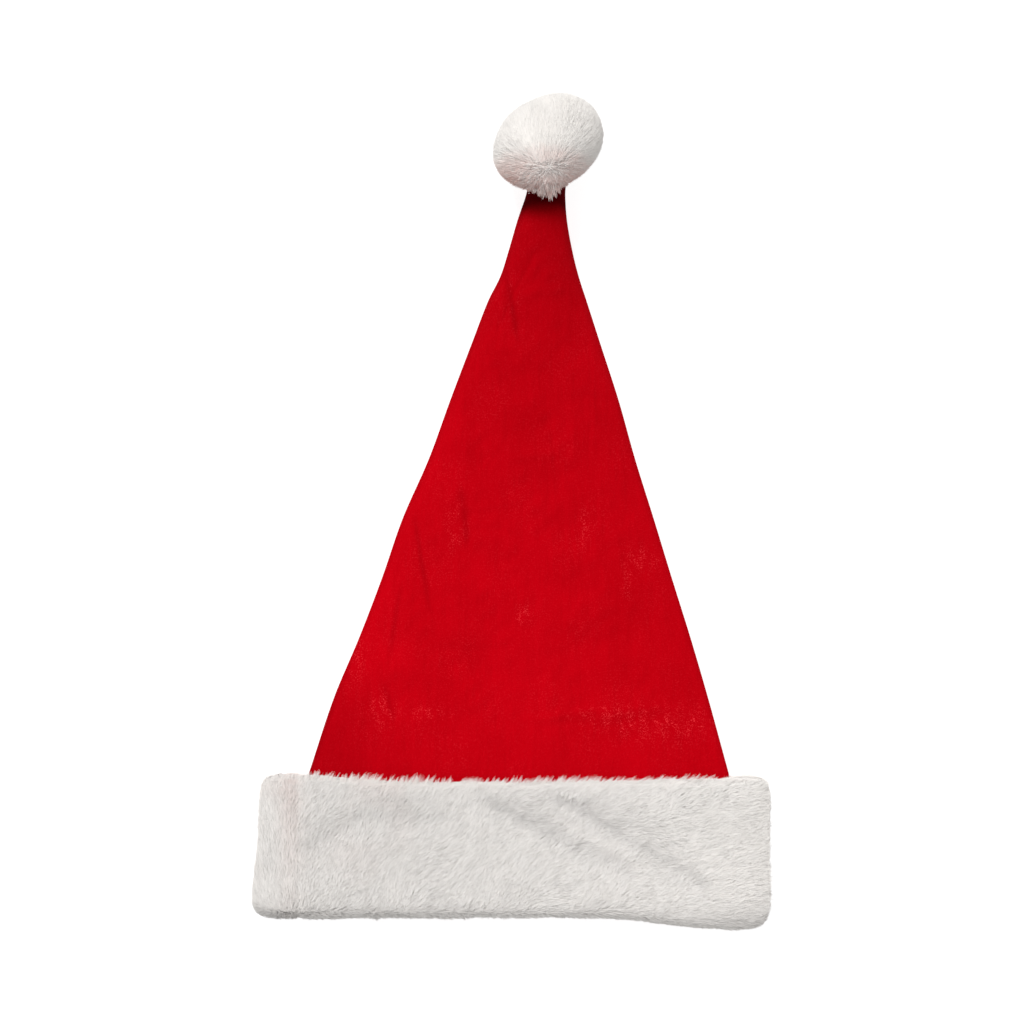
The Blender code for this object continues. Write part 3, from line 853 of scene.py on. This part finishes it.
def cuff_pile(grid, weights, pile):
    """The cuff's loose pile, in three pieces side by side."""
    count = 3 * STRANDS_A_PIECE
    points, normals = scatter(grid, True, weights, count, 21)
    draw = np.random.default_rng(22)
    share = points[:, 0] / BAND_WIDTH
    up = points[:, 1] / BAND_DEPTH + 0.5
    angle = smooth(PILE_ROWS, "angle", share)
    angle += 0.22 * drift(points, 0.04, 23) + 0.12 * drift(points, 0.012, 24)
    angle += draw.normal(size=count) * 0.20
    parted = bell(share - SEAM_ACROSS, 0.008)
    angle += parted * np.sign(SEAM_ACROSS - share) * 0.12
    over = np.stack((np.cos(angle), np.sin(angle), np.full(count, 0.12)), axis=-1)
    lay = over - normals * np.sum(over * normals, axis=1, keepdims=True)
    lay = unit(lay + 0.05 * draw.normal(size=(count, 3)))
    # At the upper edge the pile lies out over the crown.
    on_edge = np.clip(normals[:, 1] * 1.4, 0, 1)[:, None] * (points[:, 2:] > BAND_FOLD_HEIGHT)
    lay += (over - lay) * on_edge
    # At the lower one it hangs a little over the mouth.
    at_mouth = np.clip(-normals[:, 1] * 1.4, 0, 1) * (points[:, 2] > BAND_FOLD_HEIGHT / 3)
    lay = unit(lay + at_mouth[:, None] * (0, -0.8, -0.45))
    length = PILE_LENGTH * (1 + 0.12 * drift(points, 0.02, 25)) * draw.uniform(0.68, 1.1, count)
    length *= 1 - 0.5 * at_mouth
    length *= (1 - 0.2 * parted) * (1 - 0.60 * on_edge[:, 0])
    length *= np.where(points[:, 2] < BAND_FOLD_HEIGHT / 2, 0.6, 1)
    length *= 1 - 0.35 * np.abs(normals[:, 0])
    stand = (0.24 + 0.04 * drift(points, 0.010, 26)) * (1 - 0.6 * on_edge[:, 0])
    tips = points + lay * (length * 0.88)[:, None] + normals * (length * stand)[:, None]
    tips, tuft = tufted(points, tips, count // STRANDS_A_TUFT, PILE_CLING, 27)
    tone_of_tuft = draw.uniform(0.94, 1.03, tuft.max() + 1)
    # It is painted darker, as shade, in the dents, along the seam, at the left end and at its
    # edges, and it is pinkish at the seam.
    pressed, deep = np.zeros(count), 0.38
    for dent in BAND_DENTS:
        line = near_line(
            points[:, 0], points[:, 1] + BAND_TOP,
            (dent.across * BAND_WIDTH, dent.up * BAND_DEPTH),
            (dent.to_across * BAND_WIDTH, dent.to_up * BAND_DEPTH), 0.0034, fade=0,
        )
        pressed = np.maximum(pressed, line * dent.depth / deep)
    ridge_light = near_line(share, up, (0.28, 0.60), (0.42, 0.20), 0.07)
    seam_shade = bell(share - SEAM_ACROSS - 0.003, 0.0022) * (up < 0.62) * (up > 0.08)
    tint = 0.75 * np.clip(up, 0.25, 1) * bell(share + 0.427, 0.020)
    tint += 0.30 * np.clip(drift(points, 0.04, 28), 0, 1) * (share < -0.16) * np.clip(up, 0, 1)
    at_end, at_foot = bell(share + 0.5, 0.06), bell(up, 0.07)
    values = {
        # Painted light: darker to the left and lighter to the right, against the window's light,
        # and lighter on a ridge and beside the seam.
        "tone_and_shade": tone_of_tuft[tuft] * draw.uniform(0.95, 1.03, count)
        * (1.005 + 0.14 * share) * (1 + 0.03 * parted - 0.05 * seam_shade) * (1 - 0.11 * pressed)
        * (1 + 0.03 * ridge_light) * (1 - 0.05 * at_end) * (1 - 0.09 * at_foot)
        * (1 - 0.12 * at_mouth) * (1 - 0.11 * on_edge[:, 0]),
        "tint": np.clip(tint, 0, 1),
    }
    width = PILE_WIDTH * draw.uniform(0.7, 1.25, count)
    order = np.argsort(points[:, 0], kind="stable")
    for k, part in enumerate(("left", "middle", "right")):
        mine = order[k * STRANDS_A_PIECE : (k + 1) * STRANDS_A_PIECE]
        strands(
            f"cuff_pile_{part}", points[mine], normals[mine], tips[mine], width[mine],
            {label: value[mine] for label, value in values.items()}, pile, 30 + k,
            upward=1.2,
        )


def wisps(pile):
    """Small pointed tufts along the cuff's upper edge, leaning out over the crown."""
    draw = np.random.default_rng(52)
    tried, each = 420, 16
    across = draw.uniform(-0.475, 0.485, tried)
    across = across[draw.random(tried) < smooth(WISP_ROWS, "often", across)]
    back = draw.uniform(0, 0.0045, len(across))
    reach = smooth(WISP_ROWS, "reach", across) * draw.uniform(0.55, 1.15, len(across))
    tuft = np.repeat(np.arange(len(across)), each)
    swept = np.clip((across + 0.15) / 0.5, 0, 1)
    angle = np.radians(66 - 30 * swept + draw.uniform(-16, 14, len(across)))
    spread = draw.normal(size=(len(tuft), 3)) * (0.0006, 0.0008, 0.0002)
    x = across * BAND_WIDTH
    edge = band_loops([(0.955, 0.0)])[0, : BAND_STEPS[0]]
    cloth_top = crown_loops([0.015], 0.0, BAND_STEPS)[0, : BAND_STEPS[0]]
    foot_y, foot_z = (np.interp(x, edge[:, 0], edge[:, k]) for k in (1, 2))
    rest = np.interp(x, cloth_top[:, 0], cloth_top[:, 2], left=0.003, right=0.003)
    foot = np.stack((x, foot_y - back, foot_z + 0.0008), axis=-1)
    run = (reach + back + 0.0042) * (0.92 / np.sin(angle)) ** 0.8
    drop = np.minimum(np.maximum(foot_z - rest - 0.0020, 0), 0.35 * run)
    head = foot + np.stack((np.cos(angle) * run, np.sin(angle) * run, -drop), axis=-1)
    roots = foot[tuft] + spread * 1.4
    tips = head[tuft] + spread * 0.35
    tips += (roots - tips) * draw.uniform(0, 0.45, (len(tuft), 1)) ** 1.5
    normals = np.tile(unit(np.array((0.0, 0.35, 1.0))), (len(tuft), 1))
    # The tufts are painted a little darker, as painted shade, since they stand out in the light.
    values = {
        "tone_and_shade": draw.uniform(0.90, 0.98, len(tuft)),
        "tint": 0.35 * draw.random(len(across))[tuft] * (across[tuft] < 0.1),
    }
    strands(
        "cuff_wisps", roots, normals, tips, np.full(len(tuft), WISP_WIDTH), values, pile,
        53, upward=1.2,
    )


# The pompom
def ball_loops(radii, turn, rows, steps):
    """Loops round a ball from its lower pole to its upper one, turned about the vertical."""
    up = np.linspace(-math.pi / 2 + 0.012, math.pi / 2 - 0.012, rows)[:, None]
    round_ = np.arange(steps)[None, :] / steps * 2 * math.pi
    x, y, z = np.cos(up) * np.cos(round_), np.cos(up) * np.sin(round_), np.sin(up)
    x, y, z = radii[0] * x, radii[1] * y, np.broadcast_to(radii[2] * z, x.shape)
    turned = (
        x * math.cos(turn) - y * math.sin(turn),
        x * math.sin(turn) + y * math.cos(turn),
        z,
    )
    return np.stack(turned, axis=-1)


def keep_clear(points):
    """Points of the pompom kept off the crown's tip, and above the surface."""
    clear = np.array((CROWN_ROWS[-1].width * CROWN_WIDTH / 2, TIP_HALF)) * 1.2
    reach = points @ TO_TIP
    off = points - TO_TIP * reach[..., None]
    beside = np.hypot(off[..., 0] / clear[0], off[..., 2] / clear[1])
    past = np.maximum(reach - SEAT, 0) * (beside < 1)
    points = points - TO_TIP * past[..., None]
    points[..., 2] = np.maximum(points[..., 2], LEAST_LIFT - POMPOM_MIDDLE[2])
    return points


def part_round_neck(tips):
    """Tips that would run into the crown's neck laid over it, or under it."""
    up = np.array((0.0, TO_TIP[2], -TO_TIP[1]))
    height, reach = tips @ up, tips @ TO_TIP
    half = CROWN_ROWS[-1].width * CROWN_WIDTH / 2 * 1.1
    clear = TIP_HALF * 1.15 + 0.0006
    beside = (reach > SEAT) & (np.abs(tips[:, 0]) < half) & (np.abs(height) < clear)
    lifted = tips + up * (np.where(height > -0.001, clear, -clear) - height)[:, None]
    tips = np.where(beside[:, None], lifted, tips)
    tips[:, 2] = np.maximum(tips[:, 2], LEAST_LIFT - POMPOM_MIDDLE[2])
    return tips


def pompom(backing, fur):
    """A stuffed core under dense fur, which parts at a whorl above the crown's tip."""
    rows, steps = 46, 92
    points, faces = closed_tube(keep_clear(ball_loops(HEAD * 0.86, POMPOM_TURN, rows, steps)))
    body = new_piece("pompom_core", points + POMPOM_MIDDLE, faces, backing)
    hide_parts("pompom")

    count = STRANDS_A_PIECE
    grid = ball_loops(FUR_REACH - FUR_STAND, FUR_TURN, rows, steps)
    weights = np.ones((rows - 1, steps))
    weights[: rows // 4] = 0.4
    roots, normals = scatter(grid, False, weights, count, 41)
    # The fur is thinner at the lower left, where the crown's tip pulls it in.
    roots *= 1 - 0.10 * np.clip(unit(roots) @ unit(np.array((-0.5, -0.87, 0))), 0, 1)[:, None] ** 6
    draw = np.random.default_rng(42)
    parting = np.outer(np.clip(unit(roots)[:, 0], -WHORL_REACH, WHORL_REACH), (1, 0, 0))
    away = unit(roots) - unit(unit(WHORL) + parting)
    whorl_off = np.linalg.norm(away, axis=1)
    away = unit(away)
    near = bell(whorl_off, 0.22)[:, None]
    swirl = np.stack([drift(roots, 0.016, 43 + k) for k in range(3)], axis=-1)
    away += (0.13 + 0.45 * near) * swirl
    away += (0.10 + 0.40 * near) * draw.normal(size=(count, 3))
    away = unit(away - normals * np.sum(away * normals, axis=1, keepdims=True))
    length = FUR_LENGTH * (1 + 0.05 * drift(roots, 0.02, 46)) * draw.uniform(0.8, 1.06, count)
    front = np.clip(unit(roots) @ unit(TO_TIP + (0, 0, 0.25)), 0, 1) ** 2
    length *= 1 - 0.26 * front
    upright = 0.48
    stand = upright - 0.16 * bell(whorl_off, 0.5)
    roots += normals * (length * (upright - stand) * 0.8)[:, None]
    tips = roots + normals * (length * stand)[:, None] + away * (length * 0.88)[:, None]
    tips, tuft = tufted(roots, tips, count // STRANDS_A_TUFT, FUR_CLING, 47)
    tone_and_shade = draw.uniform(0.95, 1.015, tuft.max() + 1)[tuft] * draw.uniform(0.93, 1.03, count)
    low = np.clip((-roots[:, 1] - 0.008) / 0.010, 0, 1)
    tint = low * draw.uniform(0.35, 1.0, tuft.max() + 1)[tuft]
    # Painted shade and light: darker low down, at the rim and on the side facing the window,
    # lighter on top and round the whorl.
    rim = 1 - np.clip(normals[:, 2], 0, 1)
    to_window = np.clip(normals @ unit(np.array((-0.55, 0.80, 0.0))), 0, 1)
    tone_and_shade *= (1 - 0.04 * low) * (1 - 0.12 * rim**2) * (1 - 0.10 * to_window**2)
    tone_and_shade *= 1 + 0.03 * np.clip(normals[:, 2], 0, 1) ** 3 + 0.06 * bell(whorl_off, 0.6)
    values = {"tone_and_shade": tone_and_shade, "tint": tint}
    strands(
        "pompom_fur", roots + POMPOM_MIDDLE, normals, part_round_neck(tips) + POMPOM_MIDDLE,
        FUR_WIDTH * draw.uniform(0.7, 1.2, count), values, fur, 48, upward=1.8,
    )


def hanging_tips(fur):
    """Longer pointed tufts that hang from the whorl over the crown's tip, some painted darker and
    warmer as shade.
    """
    draw = np.random.default_rng(54)
    tufts, each = 420, 14
    turn = draw.uniform(-1.9, 1.9, tufts)
    down = draw.uniform(0.0, 1.0, tufts) ** 0.8
    way = np.stack((np.sin(turn), -np.cos(turn)), axis=-1)
    # The fur's ball as a stretched unit ball, so that the tufts' feet lie on it.
    cos, sin = math.cos(FUR_TURN), math.sin(FUR_TURN)
    axes = np.array(((cos, sin, 0), (-sin, cos, 0), (0, 0, 1)))
    stretch = axes.T @ np.diag(FUR_REACH - FUR_STAND) @ axes
    whorl = unit(WHORL @ np.linalg.inv(stretch))
    level = np.column_stack((way, np.zeros(tufts)))
    away = unit(level - whorl * (level @ whorl)[:, None])
    angle = (np.radians(50 * down - 3) + draw.normal(size=tufts) * 0.05)[:, None]
    ball = np.cos(angle) * whorl + np.sin(angle) * away
    fall = unit((np.cos(angle) * away - np.sin(angle) * whorl) @ stretch)
    normals = unit(ball @ np.linalg.inv(stretch))
    foot = ball @ stretch + normals * 0.0030
    middle = bell(turn - 0.12, 0.34)
    run = draw.uniform(0.0032, 0.0052, tufts) * (1 + 0.8 * middle * down)
    lift = 0.20 + 0.60 * middle * down
    head = foot + normals * (lift * run)[:, None] + fall * run[:, None]
    tuft = np.repeat(np.arange(tufts), each)
    spread = draw.normal(size=(len(tuft), 3)) * 0.0008
    roots = foot[tuft] + spread
    tips = head[tuft] + spread * 0.30
    tips += (roots - tips) * draw.uniform(0, 0.4, (len(tuft), 1)) ** 1.5
    # A quarter of the strands are painted darker and warmer, as painted shade between the tufts.
    painted_dark = draw.random(len(tuft)) < 0.25
    values = {
        "tone_and_shade": draw.uniform(0.86, 1.08, tufts)[tuft] * (1.05 - 0.30 * painted_dark),
        "tint": (draw.uniform(0.35, 1.0, tufts) * (0.25 + 0.75 * down))[tuft]
        + 0.35 * painted_dark,
    }
    strands(
        "pompom_tips", roots + POMPOM_MIDDLE, normals[tuft], part_round_neck(tips) + POMPOM_MIDDLE,
        np.full(len(tuft), HANGING_WIDTH), values, fur, 55, upward=1.5,
    )


# The surroundings
def floor(material):
    mesh = bpy.data.meshes.new("floor")
    size = 6.0
    corners = [(-size, -size, 0), (size, -size, 0), (size, size, 0), (-size, size, 0)]
    mesh.from_pydata(corners, [], [(0, 1, 2, 3)])
    mesh.materials.append(material)
    piece = bpy.data.objects.new("floor", mesh)
    bpy.context.scene.collection.objects.link(piece)


def window_light():
    """Broad light from beyond the pompom, a little to its left, halfway up."""
    lamp = bpy.data.lights.new("window", "SUN")
    lamp.energy = 2.25
    lamp.angle = math.radians(16)
    holder = bpy.data.objects.new("window", lamp)
    bpy.context.scene.collection.objects.link(holder)
    holder.rotation_euler = Vector((0.28, -0.66, -0.72)).to_track_quat("-Z", "Y").to_euler()


def camera_above():
    """Straight above the hat, as the photograph was taken."""
    level, height = 0.017, 1.5
    middle = PHOTO_SIZE // 2
    lens = bpy.data.cameras.new("camera")
    lens.sensor_width = 36.0
    lens.lens = lens.sensor_width * (height - level) / (PHOTO_SIZE * PIXEL)
    holder = bpy.data.objects.new("camera", lens)
    bpy.context.scene.collection.objects.link(holder)
    x, y = middle - PHOTO_ORIGIN[0], PHOTO_ORIGIN[1] - middle
    holder.location = (x * PIXEL, y * PIXEL, height)
    bpy.context.scene.camera = holder


def surroundings():
    floor(pale_floor())
    window_light()
    world = bpy.data.worlds.new("room")
    world.use_nodes = True
    tree = world.node_tree
    sky = tree.nodes["Background"]
    sky.inputs["Color"].default_value = WHITE
    # The walls are seen white, and light the hat as a dimmer room does.
    seen = node(tree, "ShaderNodeLightPath").outputs["Is Camera Ray"]
    dimmer = math_node(tree, "MULTIPLY", seen, 1 - ROOM_LIGHT)
    link(tree, math_node(tree, "ADD", dimmer, ROOM_LIGHT), sky.inputs["Strength"])
    bpy.context.scene.world = world
    bpy.context.scene.view_settings.view_transform = "Standard"
    camera_above()


cloth = crown(red_velour())
plush_pile = loose_pile("plush_pile", PLUSH_ROOT, PLUSH_TINT)
cuff(plush_backing("plush_foot", PLUSH_BACKING), plush_pile)
wisps(plush_pile)
pompom_pile = loose_pile("pompom_pile", FUR_ROOT, FUR_TINT)
pompom(plush_backing("fur_foot", FUR_BACKING), pompom_pile)
hanging_tips(pompom_pile)
surroundings()
